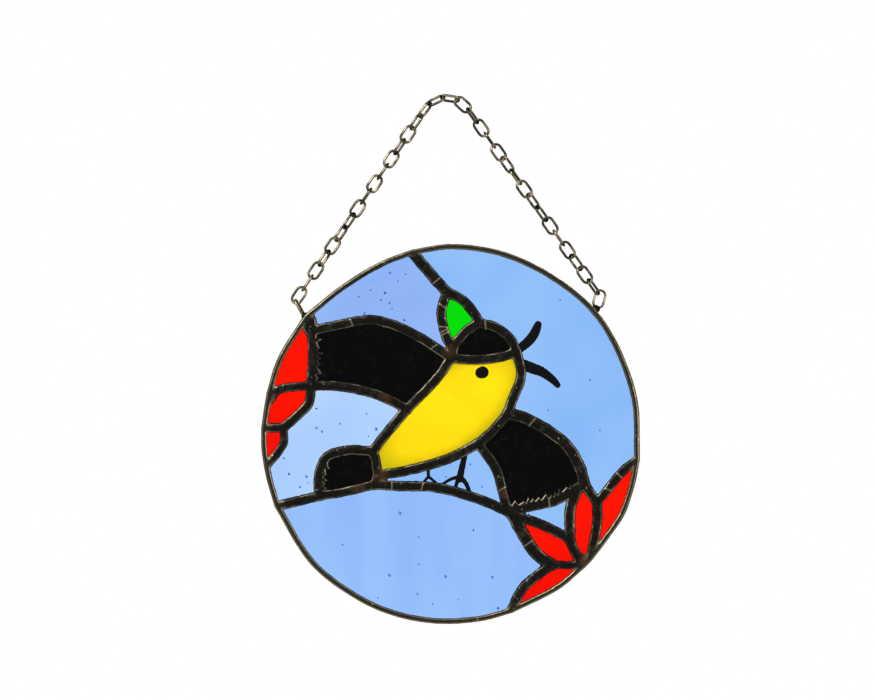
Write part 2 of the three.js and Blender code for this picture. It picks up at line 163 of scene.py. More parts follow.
# Drops where more solder ran together, and worn coppery places, with their radii in metres
DROPS = [((-183.5, 37), 0.0034), ((-143, 111), 0.0027), ((131, -130), 0.003)]
COPPERY = [((-2, 83), 0.0045), ((-72, -42), 0.005), ((-92, -55), 0.0045), ((-66, 37), 0.005),
           ((52, -60), 0.004), ((131, -128), 0.0035)]

# Where the rings stand on the rim
RING_FEET = {"left": (-146.5, 116.5), "right": (143.8, 124)}

BLUE = ("sky_upper_left", "sky_right", "sky_left", "sky_under_body", "sky_gap", "sky_bottom")
RED = ("petal_left_upper", "petal_left_middle", "petal_left_lower",
       "petal_right_a", "petal_right_b", "petal_right_c", "petal_right_d")
BLACK = ("head_cap", "wing_left", "wing_right", "tail")


# Routes of the seams

def spline(knots, per_span=40):
    """A centripetal Catmull-Rom curve through the knots, the same as the glass was cut to."""
    knots = np.array(knots, float)
    ends = np.vstack([2 * knots[0] - knots[1], knots, 2 * knots[-1] - knots[-2]])
    u = np.linspace(0, 1, per_span, endpoint=False)[:, None]
    curve = []
    for before, start, end, after in zip(ends, ends[1:], ends[2:], ends[3:]):
        step_in, step, step_out = (math.sqrt(np.linalg.norm(b - a))
                                   for a, b in ((before, start), (start, end), (end, after)))
        leave = (start - before) / step_in - (end - before) / (step_in + step) + (end - start) / step
        arrive = (end - start) / step - (after - start) / (step + step_out) + (after - end) / step_out
        leave, arrive = leave * step, arrive * step
        curve.append((2 * u ** 3 - 3 * u ** 2 + 1) * start + (u ** 3 - 2 * u ** 2 + u) * leave
                     + (3 * u ** 2 - 2 * u ** 3) * end + (u ** 3 - u ** 2) * arrive)
    return np.vstack(curve + [knots[-1:]])


def lengths_along(points):
    """How far along the route each point lies."""
    return np.concatenate([[0], np.cumsum(np.linalg.norm(np.diff(points, axis=0), axis=1))])


def spaced(points, count):
    """The route again in a number of equal steps."""
    along = lengths_along(points)
    wanted = np.linspace(0, along[-1], count + 1)
    return np.column_stack([np.interp(wanted, along, points[:, axis]) for axis in range(points.shape[1])])


def route(seam):
    start, between, end = seam
    return spline([SPOTS[start], *between, SPOTS[end]]) * PATTERN_UNIT


ROUTES = {name: route(seam) for name, seam in {**SEAMS, **RIM}.items()}
RIM_LOOP = np.vstack([ROUTES[name][:-1] for name in RIM])

# The pattern's middle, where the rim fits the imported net
net_low, net_high = (np.array(corner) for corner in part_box("solder_net"))
MIDDLE = ((net_low + net_high) / 2)[[0, 2]] - (RIM_LOOP.min(axis=0) + RIM_LOOP.max(axis=0)) / 2


def spot(right, up):
    """A place in the pattern in metres."""
    return np.array([right, up]) * PATTERN_UNIT


def at_pixel(x, y):
    """A pixel of the photograph as a place in the pattern, in metres."""
    return spot(x - PHOTO_MIDDLE[0], PHOTO_MIDDLE[1] - y)


# Meshes

def place_piece(name, bm, material, replaces=(), smooth=True):
    """A new object of the suncatcher from a worked mesh, which it uses up."""
    mesh = bpy.data.meshes.new(name)
    bm.to_mesh(mesh)
    bm.free()
    for polygon in mesh.polygons:
        polygon.use_smooth = smooth
    piece = bpy.data.objects.new(name, mesh)
    bpy.context.scene.collection.objects.link(piece)
    mesh.materials.append(material)
    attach(piece, "root")
    if replaces:
        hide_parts(*replaces)
    return piece


def new_piece(name, vertices, faces, material, replaces=(), smooth=True):
    rough = bpy.data.meshes.new(name + "_points")
    rough.from_pydata([tuple(map(float, v)) for v in vertices], [], [tuple(map(int, f)) for f in faces])
    bm = bmesh.new()
    bm.from_mesh(rough)
    bpy.data.meshes.remove(rough)
    bmesh.ops.recalc_face_normals(bm, faces=bm.faces)
    return place_piece(name, bm, material, replaces, smooth)


def in_frame(plane_points, depth):
    """Points of the pattern's plane in the shared frame, at a depth or depths along Y."""
    plane_points = np.asarray(plane_points)
    depth = np.broadcast_to(depth, (len(plane_points),))
    return np.column_stack([plane_points[:, 0] + MIDDLE[0], depth, plane_points[:, 1] + MIDDLE[1]])


def ripple(x, z, size, seed):
    """Smooth unevenness between about -1 and 1."""
    waves = np.random.default_rng(seed)
    total = 0
    for _ in range(6):
        angle, phase = waves.uniform(0, 2 * math.pi, 2)
        stretch = waves.uniform(0.7, 1.6)
        forward = x * math.cos(angle) + z * math.sin(angle)
        total = total + np.sin(forward * 2 * math.pi * stretch / size + phase)
    return total / 3.2


# Solder

def nearness(points, half_width, x, z, feathers=None):
    """How far each grid point lies from a route, as a share of the bead's half width."""
    distance = np.full(x.shape, 1.0)
    reached = np.zeros(x.shape)
    on_left = np.zeros(x.shape, bool)
    along = lengths_along(points)
    for start, end, before in zip(points, points[1:], along):
        step = end - start
        length = np.linalg.norm(step)
        onward = step / length
        right, up = x - start[0], z - start[1]
        forward = np.clip(right * onward[0] + up * onward[1], 0, length)
        away = np.hypot(right - forward * onward[0], up - forward * onward[1])
        closer = away < distance
        distance = np.where(closer, away, distance)
        reached = np.where(closer, before + forward, reached)
        on_left = np.where(closer, onward[0] * up > onward[1] * right, on_left)
    if not feathers:
        return distance / half_width
    first, last = feathers
    share = reached / along[-1]
    teeth = reached / FEATHER_PITCH + 0.22 * np.sin(reached / 0.0016)
    tooth = np.minimum((teeth % 1) / 0.72, (1 - teeth % 1) / 0.28)
    depth = FEATHER_DEPTH * (0.75 + 0.25 * np.sin(np.floor(teeth) * 2.4)) * tooth
    cut = on_left & (share > first) & (share < last)
    return distance / (half_width + depth * cut)


def blended(a, b, reach=0.3):
    """The smaller of two, rounded where they are close."""
    close = np.maximum(reach - np.abs(a - b), 0) / reach
    return np.minimum(a, b) - close ** 2 * reach / 4


def rim_reach(x, z):
    """How far the rim's line lies from the panel's middle, in the direction of each point."""
    return np.interp(np.arctan2(z, x), np.arctan2(RIM_LOOP[:, 1], RIM_LOOP[:, 0]),
                     np.hypot(RIM_LOOP[:, 0], RIM_LOOP[:, 1]) - RIM_INSET, period=2 * math.pi)


def solder_field(seed):
    """The grid over the panel and, at each point, how near the solder is: 0 on a crest, 1 at an edge."""
    reach = np.abs(RIM_LOOP).max() + 0.004
    ticks = np.arange(-reach, reach, GRID)
    x, z = np.meshgrid(ticks, ticks, indexing="ij")
    field = np.full(x.shape, 4.0)
    rim_field = field.copy()
    for name, points in ROUTES.items():
        on_rim = name in RIM
        half_width = (RIM_WIDTH if on_rim else BEAD_WIDTH) / 2 * WIDE.get(name, 1)
        fine = spaced(points, max(2, round(lengths_along(points)[-1] / SEAM_STEP)))
        if on_rim:
            fine = fine * (1 - RIM_INSET / np.hypot(fine[:, 0], fine[:, 1]))[:, None]
        low = np.searchsorted(ticks, fine.min(axis=0) - SEAM_SURROUND)
        high = np.searchsorted(ticks, fine.max(axis=0) + SEAM_SURROUND)
        patch = (slice(low[0], high[0]), slice(low[1], high[1]))
        near = nearness(fine, half_width, x[patch], z[patch], FEATHERED.get(name))
        field[patch] = blended(field[patch], near)
        if on_rim:
            rim_field[patch] = np.minimum(rim_field[patch], near)
    for place, radius in DROPS:
        field = blended(field, np.hypot(x - spot(*place)[0], z - spot(*place)[1]) / radius, 0.8)
    field = np.where(np.hypot(x, z) > rim_reach(x, z), rim_field, field)
    field = field * (1 + 0.045 * ripple(x, z, 0.007, seed) + 0.03 * ripple(x, z, 0.0025, seed + 1))
    return x, z, field


def lap_marks(x, z):
    """Low ridges across the beads."""
    ridges = np.zeros(x.shape)
    for index, place in enumerate(LAPS):
        middle = spot(*place)
        nearest = min(ROUTES.values(), key=lambda line: np.hypot(*(line - middle).T).min())
        at = int(np.clip(np.hypot(*(nearest - middle).T).argmin(), 1, len(nearest) - 2))
        along = nearest[at + 1] - nearest[at - 1]
        along = along / np.linalg.norm(along)
        right, up = x - nearest[at][0], z - nearest[at][1]
        forward = right * along[0] + up * along[1]
        aside = right * along[1] - up * along[0]
        forward = forward + aside * 0.35 * math.sin(index * 1.9)
        ridges = ridges + np.exp(-(forward / LAP_WIDTH) ** 2) * (np.abs(aside) < LAP_REACH)
    return ridges


def solder_surface(name, side, seed, material):
    """The run of beads on one face of the panel, with soft crests and filled corners."""
    x, z, field = solder_field(seed)
    inside = field < 1
    cells = inside[:-1, :-1] | inside[1:, :-1] | inside[:-1, 1:] | inside[1:, 1:]
    slope_x, slope_z = np.gradient(field, GRID)
    steep = np.maximum(slope_x ** 2 + slope_z ** 2, 1e4)
    out = np.where(inside, 0, (1 - field) / steep)
    limit = GRID * 0.95
    x = x + np.clip(out * slope_x, -limit, limit)
    z = z + np.clip(out * slope_z, -limit, limit)
    crest = np.sqrt(np.clip(1 - np.clip(field, 0, 1) ** 2, 0, 1))
    from_middle = np.hypot(x, z)
    rim_share = np.clip((from_middle - RIM_STARTS) / RIM_BLEND, 0, 1)
    height = BEAD_HEIGHT + (RIM_HEIGHT - BEAD_HEIGHT) * rim_share
    height = height * (0.9 + 0.1 * ripple(x, z, 0.009, seed + 2)) * crest ** 0.8
    laps = lap_marks(x, z)
    height = height + (0.00002 * ripple(x, z, 0.0016, seed + 3) + LAP_HEIGHT * laps) * crest
    height = np.clip(height, 0, BEAD_HEIGHT)
    used = np.zeros(x.shape, bool)
    rows, columns = np.nonzero(cells)
    corners = [(rows, columns), (rows + 1, columns), (rows + 1, columns + 1), (rows, columns + 1)]
    for corner in corners:
        used[corner] = True
    number = np.cumsum(used.ravel()).reshape(used.shape) - 1
    faces = np.column_stack([number[corner] for corner in corners])
    plane = np.column_stack([x[used], z[used]])
    depth = side * (FACE - BEAD_SINK + height[used])
    piece = new_piece(name, in_frame(plane, depth), faces, material, ("solder_net",))
    for key, values in (("across", field), ("rim", rim_share), ("lap", laps)):
        layer = piece.data.attributes.new(key, "FLOAT", "POINT")
        layer.data.foreach_set("value", values[used].astype(np.float32))
    return piece


def loop_frame(points):
    """Outward directions along the closed rim."""
    ahead = np.roll(points, -3, axis=0) - np.roll(points, 3, axis=0)
    ahead = ahead / np.linalg.norm(ahead, axis=1)[:, None]
    return np.column_stack([-ahead[:, 1], ahead[:, 0]])


def rim_edge(material):
    """The soldered edge round the outside, a flattened bead."""
    points = spaced(np.vstack([RIM_LOOP, RIM_LOOP[:1]]), EDGE_STEPS)[:-1]
    outward = loop_frame(points)
    vertices = []
    for index, (point, out) in enumerate(zip(points, outward)):
        uneven = 1 + 0.06 * math.sin(index * 0.31) * math.sin(index * 0.083 + 1)
        for turn in np.linspace(0, 2 * math.pi, EDGE_SIDES, endpoint=False):
            across = math.copysign(abs(math.cos(turn)) ** 0.7, math.cos(turn)) * EDGE_BULGE * uneven
            across = across + 0.00026 * abs(out[0])
            depth = math.copysign(abs(math.sin(turn)) ** 0.6, math.sin(turn)) * (FACE + 0.0001)
            vertices.append(in_frame([point + out * across], depth)[0])
    faces = tube_faces(len(points), EDGE_SIDES, closed=True)
    return new_piece("rim_edge", vertices, faces, material, ("solder_net",))


def tube_faces(rings, sides, closed):
    """The faces of a tube made of equal rings of vertices."""
    faces = []
    for ring in range(rings if closed else rings - 1):
        onward = (ring + 1) % rings
        for side in range(sides):
            next_side = (side + 1) % sides
            faces.append((ring * sides + side, onward * sides + side,
                          onward * sides + next_side, ring * sides + next_side))
    return faces


def webs(material):
    """Foil and solder between the edges of the glass, along the same chords as the glass was cut."""
    vertices, faces = [], []
    for name, points in ROUTES.items():
        knots = len({**SEAMS, **RIM}[name][1]) + 2
        chords = max(knots - 1, round(lengths_along(points)[-1] / CHORD_LENGTH))
        line = spaced(points, chords)
        ahead = np.gradient(line, axis=0)
        across = np.column_stack([-ahead[:, 1], ahead[:, 0]])
        across = across / np.linalg.norm(across, axis=1)[:, None] * WEB_WIDTH / 2
        first = len(vertices)
        for point, aside in zip(line, across):
            for sign, depth in ((1, FACE), (1, -FACE), (-1, -FACE), (-1, FACE)):
                vertices.append(in_frame([point + sign * aside], depth)[0])
        sleeve = tube_faces(len(line), 4, closed=False)
        faces += [tuple(first + corner for corner in face) for face in sleeve]
        last = len(vertices) - 4
        faces += [(first, first + 1, first + 2, first + 3), (last + 3, last + 2, last + 1, last)]
    return new_piece("solder_webs", vertices, faces, material, ("solder_net",), smooth=False)


# Wire

def node_place(name):
    """The middle of a wire oval's node, and the directions of its length, width and thickness."""
    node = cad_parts[name]
    points = np.array([vertex.co[:] for vertex in node.data.vertices])
    middle = points.mean(axis=0)
    _, _, directions = np.linalg.svd(points - middle)
    return middle, directions


def wire_oval(name, length, width, wire, material, seed):
    """A link or ring bent from round wire, a little uneven, with a closed butt joint on one side."""
    middle, (along, across, normal) = node_place(name)
    bend = (width - wire) / 2
    straight = (length - width) / 2
    half = np.linspace(-math.pi / 2, math.pi / 2, 17)
    right_end = np.column_stack([straight + bend * np.cos(half), bend * np.sin(half)])
    line = np.vstack([right_end, -right_end])
    line = spaced(np.vstack([line, line[:1]]), WIRE_STEPS)[:-1]
    uneven = np.random.default_rng(seed).uniform(-1, 1, 4)
    skew = 1 + 0.03 * uneven[0] * line[:, 0] / length
    line = np.column_stack([line[:, 0], line[:, 1] * skew])
    ahead = np.roll(line, -1, axis=0) - np.roll(line, 1, axis=0)
    ahead = ahead / np.linalg.norm(ahead, axis=1)[:, None]
    vertices = []
    joint = 7 if uneven[1] > 0 else 31
    for index, (point, (forward_x, forward_y)) in enumerate(zip(line, ahead)):
        pinch = 0.86 if index == joint else 1
        for turn in np.linspace(0, 2 * math.pi, WIRE_SIDES, endpoint=False):
            aside = math.cos(turn) * wire / 2 * pinch
            flat = point + aside * np.array([forward_y, -forward_x])
            lift = math.sin(turn) * wire / 2 * pinch
            vertices.append(middle + along * flat[0] + across * flat[1] + normal * lift)
    faces = tube_faces(len(line), WIRE_SIDES, closed=True)
    return new_piece(name + "_wire", vertices, faces, material, (name,))


def ring_solder(name, foot, material, seed):
    """The blob of solder that holds a ring on the rim."""
    bm = bmesh.new()
    bmesh.ops.create_icosphere(bm, subdivisions=4, radius=1)
    place_at = Vector(in_frame([foot], 0)[0])
    for vertex in bm.verts:
        x, y, z = vertex.co
        bulge = 1 + 0.07 * float(ripple(x, z + y, 1.6, seed))
        vertex.co = place_at + Vector((x, y * 0.95, z)) * RING_SOLDER * bulge
    return place_piece(name, bm, material, ("solder_net",))


# Enamel on the front

def stroke(points, widths):
    """A brush stroke: vertices and faces of a low rounded ridge with round ends."""
    line = spline(points, 8) if len(points) > 2 else np.array(points, float)
    width = np.interp(lengths_along(line), lengths_along(np.array(points, float)), widths)
    width = width * (1 + 0.035 * np.sin(np.arange(len(width)) * 1.7))
    ahead = np.gradient(line, axis=0)
    ahead = ahead / np.linalg.norm(ahead, axis=1)[:, None]
    caps = np.linspace(0, 1, 6)[:-1]
    stations = []
    for turn in caps:
        back = math.cos(turn * math.pi / 2)
        stations.append((line[0] - ahead[0] * back * width[0] / 2, ahead[0],
                         width[0] * math.sqrt(1 - back ** 2)))
    stations += list(zip(line, ahead, width))
    for turn in caps[::-1]:
        back = math.cos(turn * math.pi / 2)
        stations.append((line[-1] + ahead[-1] * back * width[-1] / 2, ahead[-1],
                         width[-1] * math.sqrt(1 - back ** 2)))
    arch = np.linspace(-1, 1, 7)
    vertices, faces = [], []
    for point, (forward_x, forward_y), wide in stations:
        lift = PAINT_HEIGHT * min(1, wide / 0.0008)
        for across in arch:
            aside = point + np.array([-forward_y, forward_x]) * across * wide / 2
            depth = -(GLASS / 2 + 0.00001 + lift * (1 - across ** 4))
            vertices.append(in_frame([aside], depth)[0])
    count = len(arch)
    for station in range(len(stations) - 1):
        for index in range(count - 1):
            first = station * count + index
            faces.append((first, first + 1, first + count + 1, first + count))
    return vertices, faces


def painted(name, strokes, material):
    """One piece from brush strokes, each given by pixels and its widths in pixels."""
    vertices, faces = [], []
    for points, widths in strokes:
        more_vertices, more_faces = stroke([at_pixel(*point) for point in points],
                                           [width * PATTERN_UNIT for width in widths])
        first = len(vertices)
        vertices += more_vertices
        faces += [tuple(first + corner for corner in face) for face in more_faces]
    return new_piece(name, vertices, faces, material)


BEAK = [
    ([(519, 349), (526, 343.5), (530, 339.5), (534, 334), (536.5, 328.5), (538, 324.5)],
     [9, 9.6, 10, 9.8, 8.8, 7.4]),
    ([(524, 365), (533, 368.5), (541, 371.5), (548, 376), (554, 381), (557.5, 385)],
     [11, 11, 10, 8.6, 7.4, 6.2]),
]
EYE = [([(480.8, 372.8), (482.6, 372.3)], [11.3, 11.8])]
LEGS = [
    ([(428, 466), (428.5, 477)], [3.3, 3.3]),
    ([(428.5, 476.5), (423.5, 482)], [3.2, 2.5]),
    ([(428.5, 476.5), (431, 478.5), (436, 482.5)], [3.3, 3, 2.5]),
    ([(464.5, 456), (461, 472), (459.5, 479)], [5.6, 6.6, 7.2]),
    ([(458, 477), (451, 479), (442.5, 484)], [4, 3.4, 2.8]),
    ([(458, 479), (455.5, 487)], [4.4, 3.5]),
    ([(461.5, 478), (466, 483.5), (470, 493)], [5, 4.6, 3.8]),
]


# Seeds in the blue glass: the pixel of each and its length in SEED_UNITs
SEEDS = [
    (390, 273, 6), (405.5, 274, 5), (398, 281.5, 4), (385, 293, 7), (381, 300, 5), (389.5, 303, 5),
    (392, 309, 4), (404.5, 320, 6), (364.5, 313.5, 7), (370.5, 290, 4), (373.5, 280, 5), (359, 296.5, 4),
    (316.5, 408.5, 6), (366.5, 413.5, 5), (340, 424, 5), (316.5, 428, 7), (322, 431.5, 6), (376, 429, 8),
    (368.5, 436, 4), (289, 474, 6), (306.5, 476.5, 7), (300, 487, 5), (308, 482.5, 4), (284, 458, 5),
    (400, 513, 8), (418.5, 537, 5), (389.5, 575, 8), (419, 564, 5), (473.5, 530, 6), (445.5, 576.5, 7),
    (492.5, 577, 7), (458.5, 599.5, 4), (417.5, 594, 5), (432.5, 604, 4), (378, 598, 4), (498, 608, 7),
    (342.5, 544.5, 5), (482, 487, 5), (470.5, 464.5, 4),
    (446, 477, 4), (529, 514, 4), (560, 300, 4), (590, 380, 5), (548, 410, 4), (600, 430, 5),
]


def seeds(material):
    """Small bubbles drawn out in the sheet, at uneven depths."""
    bm = bmesh.new()
    uneven = np.random.default_rng(5)
    for x, y, tenths in SEEDS:
        place_at = in_frame([at_pixel(x, y)], uneven.uniform(-0.0006, 0.0006))[0]
        long = tenths * SEED_UNIT / 2
        lean = uneven.uniform(-0.6, 0.6)
        made = bmesh.ops.create_icosphere(bm, subdivisions=2, radius=1)
        for vertex in made["verts"]:
            right, depth, up = vertex.co.x * 0.85 * long, vertex.co.y * 0.6 * long, vertex.co.z * long
            vertex.co = (place_at[0] + right * math.cos(lean) - up * math.sin(lean), place_at[1] + depth,
                         place_at[2] + right * math.sin(lean) + up * math.cos(lean))
    return place_piece("seeds", bm, material)


# Materials

class Value:
    """A socket that can be used in sums."""

    def __init__(self, sheet, socket):
        self.sheet = sheet
        self.socket = socket

    def _sum(self, operation, *inputs):
        return self.sheet.node("ShaderNodeMath", {"operation": operation}, dict(enumerate(inputs)))

    def __add__(self, other):
        return self._sum("ADD", self, other)

    def __radd__(self, other):
        return self._sum("ADD", other, self)

    def __sub__(self, other):
        return self._sum("SUBTRACT", self, other)

    def __rsub__(self, other):
        return self._sum("SUBTRACT", other, self)

    def __mul__(self, other):
        return self._sum("MULTIPLY", self, other)

    def __rmul__(self, other):
        return self._sum("MULTIPLY", other, self)

    def __truediv__(self, other):
        return self._sum("DIVIDE", self, other)

    def __rtruediv__(self, other):
        return self._sum("DIVIDE", other, self)


class Sheet:
    """The nodes of one material."""

    def __init__(self, name):
        self.material = bpy.data.materials.new(name)
        self.material.use_nodes = True
        self.tree = self.material.node_tree
        self.shader = self.tree.nodes["Principled BSDF"]

    def node(self, kind, settings=None, inputs=None, output=0):
        made = self.tree.nodes.new(kind)
        for key, value in (settings or {}).items():
            setattr(made, key, value)
        for key, value in (inputs or {}).items():
            self.feed(made.inputs[key], value)
        return Value(self, made.outputs[output])

    def feed(self, socket, value):
        if isinstance(value, Value):
            self.tree.links.new(value.socket, socket)
        else:
            socket.default_value = value

    def place(self):
        return self.node("ShaderNodeTexCoord", output="Object")

    def noise(self, size, detail=4, roughness=0.55, distortion=0.0, stretch=None):
        where = self.place()
        if stretch:
            where = self.node("ShaderNodeMapping", inputs={"Vector": where, "Scale": stretch})
        return self.node("ShaderNodeTexNoise", {"noise_dimensions": "3D"},
                         {"Vector": where, "Scale": 1 / size, "Detail": detail, "Roughness": roughness,
                          "Distortion": distortion})

    def between(self, value, low, high, to_low=0.0, to_high=1.0):
        return self.node("ShaderNodeMapRange", {"interpolation_type": "SMOOTHSTEP"},
                         {"Value": value, "From Min": low, "From Max": high, "To Min": to_low,
                          "To Max": to_high})

    def mix(self, share, first, second):
        return self.node("ShaderNodeMix", {"data_type": "RGBA"}, {0: share, 6: first, 7: second}, output=2)

    def bump(self, height, strength, distance):
        return self.node("ShaderNodeBump", inputs={"Height": height, "Strength": strength,
                                                   "Distance": distance})

    def finish(self, **inputs):
        for key, value in inputs.items():
            self.feed(self.shader.inputs[key.replace("_", " ")], value)
        return self.material


def colour(red, green, blue):
    """A screen colour of 0 to 255 as the shader's linear colour."""
    def linear(level):
        level = level / 255
        return level / 12.92 if level <= 0.04045 else ((level + 0.055) / 1.055) ** 2.4
    return (linear(red), linear(green), linear(blue), 1.0)


# The share of its mirror image that glass keeps, so that its colours stay deep in the white studio
FAINT = (0.1, 0.1, 0.1, 1.0)


def clear_glass(name, light, deep, drift_size=0.05, drift_stretch=None):
    """Clear rolled glass: its colour drifts a little, and its face is faintly wavy and pitted."""
    sheet = Sheet(name)
    drift = sheet.between(sheet.noise(drift_size, detail=2, stretch=drift_stretch), 0.32, 0.68)
    waves = sheet.noise(0.011, detail=2, stretch=(1, 1, 0.6))
    pits = sheet.noise(0.0016, detail=3)
    face = waves + 0.12 * pits
    return sheet.finish(
        Base_Color=sheet.mix(drift, light, deep), Roughness=sheet.between(pits, 0.3, 0.8, 0.01, 0.05),
        Normal=sheet.bump(face, 0.25, 0.0004), Transmission_Weight=1.0, IOR=1.45, Specular_Tint=FAINT)


def opal_glass(name, light, deep, edge):
    """Streaky translucent glass that scatters the light behind it, with shade painted in towards the
    solder.
    """
    sheet = Sheet(name)
    streaks = sheet.noise(0.02, detail=4, distortion=0.8, stretch=(1, 1, 2.2))
    clouds = sheet.noise(0.006, detail=3)
    share = sheet.between(streaks + 0.25 * clouds, 0.45, 0.85)
    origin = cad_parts["body_yellow"].matrix_world.translation
    middle = in_frame([at_pixel(*BODY_MIDDLE)], 0)[0] - np.array(origin)
    offset = sheet.node("ShaderNodeVectorMath", {"operation": "SUBTRACT"},
                        {0: sheet.place(), 1: tuple(middle)})
    turned = sheet.node("ShaderNodeVectorRotate", {"rotation_type": "Y_AXIS"},
                        {"Vector": offset, "Angle": BODY_LEAN})
    shares = sheet.node("ShaderNodeVectorMath", {"operation": "DIVIDE"},
                        {0: turned, 1: (BODY_HALF_LENGTH, 1, BODY_HALF_WIDTH)})
    flat = sheet.node("ShaderNodeVectorMath", {"operation": "MULTIPLY"}, {0: shares, 1: (1, 0, 1)})
    away = sheet.node("ShaderNodeVectorMath", {"operation": "LENGTH"}, {0: flat}, output=1)
    # Painted shade: the body darkens towards its outline, where the solder blocks the light from behind.
    dim = sheet.between(away + 0.2 * clouds, 0.72, 1.15, 0.0, 0.95)
    return sheet.finish(
        Base_Color=sheet.mix(dim, sheet.mix(share, light, deep), edge),
        Roughness=sheet.between(clouds, 0.3, 0.7, 0.42, 0.55),
        Normal=sheet.bump(clouds, 0.2, 0.0003), Transmission_Weight=1.0, IOR=1.45, Specular_Tint=FAINT)


def black_glass(name):
    """Opaque black glass with a faintly wavy gloss."""
    sheet = Sheet(name)
    waves = sheet.noise(0.012, detail=3)
    dust = sheet.between(sheet.noise(0.0025, detail=5), 0.5, 0.8)
    return sheet.finish(
        Base_Color=sheet.mix(dust, colour(3, 3, 3), colour(8, 7, 7)),
        Roughness=sheet.between(dust, 0, 1, 0.16, 0.3), Normal=sheet.bump(waves, 0.3, 0.0004),
        Specular_IOR_Level=0.15, Specular_Tint=FAINT)


def dark_solder(name, dark, worn, coppery=()):
    """Solder under a dark patina, rubbed in places: painted highlight lines near the edges of the beads, a
    browner rim with painted lighter edges, painted highlights on the laps and painted glints.
    """
    sheet = Sheet(name)
    grain = sheet.noise(0.0012, detail=4)
    laps = sheet.noise(0.0045, detail=2, distortion=0.5)
    rubbed = sheet.between(sheet.noise(0.0032, detail=5), 0.52, 0.8)
    base = sheet.mix(0.7 * rubbed, dark, worn)
    rim = sheet.node("ShaderNodeAttribute", {"attribute_name": "rim"}, output=2)
    across = sheet.node("ShaderNodeAttribute", {"attribute_name": "across"}, output=2)
    # Browner rim, partly its own tone and partly painted highlight: darker on its crest, lighter towards
    # the edges of the bead.
    rim_tone_and_highlight = sheet.mix(sheet.between(across, 0.3, 0.65), colour(32, 29, 22), colour(84, 77, 59))
    base = sheet.mix(0.9 * rim, base, rim_tone_and_highlight)
    # Painted highlight: a thin lighter line along both edges of each bead, broken up by noise.
    line = sheet.between(across, 0.66, 0.76) - sheet.between(across, 0.8, 0.9)
    unbroken = sheet.between(sheet.noise(0.006, detail=3), 0.44, 0.62, 0.12, 1.0)
    base = sheet.mix(line * unbroken, base, colour(92, 85, 68))
    # Painted highlight: the lap ridges across the beads are painted lighter.
    lap = sheet.node("ShaderNodeAttribute", {"attribute_name": "lap"}, output=2)
    base = sheet.mix(0.7 * lap, base, colour(118, 110, 90))
    # Painted highlight: small light glints scattered over the solder.
    painted_glint = sheet.between(sheet.noise(0.0022, detail=3, roughness=0.6), 0.64, 0.73, 0.0, 0.8)
    base = sheet.mix(painted_glint, base, colour(120, 112, 94))
    for middle, radius in coppery:
        away = sheet.node("ShaderNodeVectorMath", {"operation": "DISTANCE"},
                          {0: sheet.place(), 1: tuple(in_frame([spot(*middle)], -FACE)[0])}, output=1)
        share = sheet.between(away / radius + 0.9 * laps, 0.6, 1.3, 0.5, 0.0)
        base = sheet.mix(share, base, colour(64, 42, 28))
    gloss = sheet.between(grain + 0.4 * laps, 0.5, 1.0, 0.26, 0.42)
    return sheet.finish(
        Base_Color=base, Metallic=0.9, Roughness=gloss + sheet.between(across, 0.6, 0.85, 0.0, 0.22),
        Normal=sheet.bump(laps + 0.2 * grain, 0.35, 0.0004), Specular_Tint=(0.6, 0.6, 0.6, 1.0))


def dark_wire(name, base, rubbed):
    """Antiqued wire, rubbed bright in places."""
    sheet = Sheet(name)
    grain = sheet.noise(0.0014, detail=3)
    rub = sheet.between(sheet.noise(0.0045, detail=3), 0.45, 0.68)
    return sheet.finish(
        Base_Color=sheet.mix(rub, base, rubbed), Metallic=1.0,
        Roughness=sheet.between(grain, 0.3, 0.7, 0.26, 0.38), Normal=sheet.bump(grain, 0.08, 0.0002),
        Specular_Tint=(0.02, 0.02, 0.02, 1.0))


def enamel(name):
    """Black enamel laid on with a brush."""
    sheet = Sheet(name)
    brush = sheet.noise(0.0012, detail=3, stretch=(1, 1, 0.35))
    return sheet.finish(
        Base_Color=sheet.mix(brush, colour(3, 3, 3), colour(10, 9, 9)), Roughness=0.45,
        Normal=sheet.bump(brush, 0.3, 0.0002), Specular_IOR_Level=0.15, Specular_Tint=FAINT)


def bubble_shade_material(name):
    """Painted shade: the dark look that a bubble shows against the light, painted on an opaque bead."""
    sheet = Sheet(name)
    drift = sheet.noise(0.004, detail=2)
    return sheet.finish(Base_Color=sheet.mix(drift, colour(106, 134, 186), colour(130, 158, 208)),
                        Roughness=0.25, Specular_Tint=FAINT)


blue_glass = clear_glass("blue_glass", colour(150, 194, 252), colour(134, 184, 248))
streaky_blue_glass = clear_glass("streaky_blue_glass", colour(153, 195, 253), colour(144, 186, 250),
                                 drift_size=0.022, drift_stretch=(1, 1, 0.25))
pale_blue_glass = clear_glass("pale_blue_glass", colour(182, 214, 255), colour(168, 204, 253))
violet_blue_glass = clear_glass("violet_blue_glass", colour(156, 190, 248), colour(142, 180, 246))
red_glass = clear_glass("red_glass", colour(255, 16, 0), colour(246, 6, 0))
green_glass = clear_glass("green_glass", colour(0, 232, 0), colour(0, 220, 4))
# The last colour is the painted shade near the solder.
yellow_glass = opal_glass("yellow_glass", colour(255, 220, 0), colour(249, 211, 0), colour(190, 180, 0))
opaque_glass = black_glass("opaque_black_glass")
solder = dark_solder("patinated_solder", colour(14, 13, 10), colour(46, 43, 35), COPPERY)
# Lighter solder for the outer edge: partly the rim's own olive tone, partly a painted highlight along that
# edge.
rim_solder_and_highlight = dark_solder("rim_solder_and_highlight", colour(50, 45, 33), colour(92, 84, 64))
wire = dark_wire("antiqued_wire", colour(50, 46, 36), colour(116, 107, 86))
ring_wire = dark_wire("ring_wire", colour(62, 55, 40), colour(124, 114, 88))
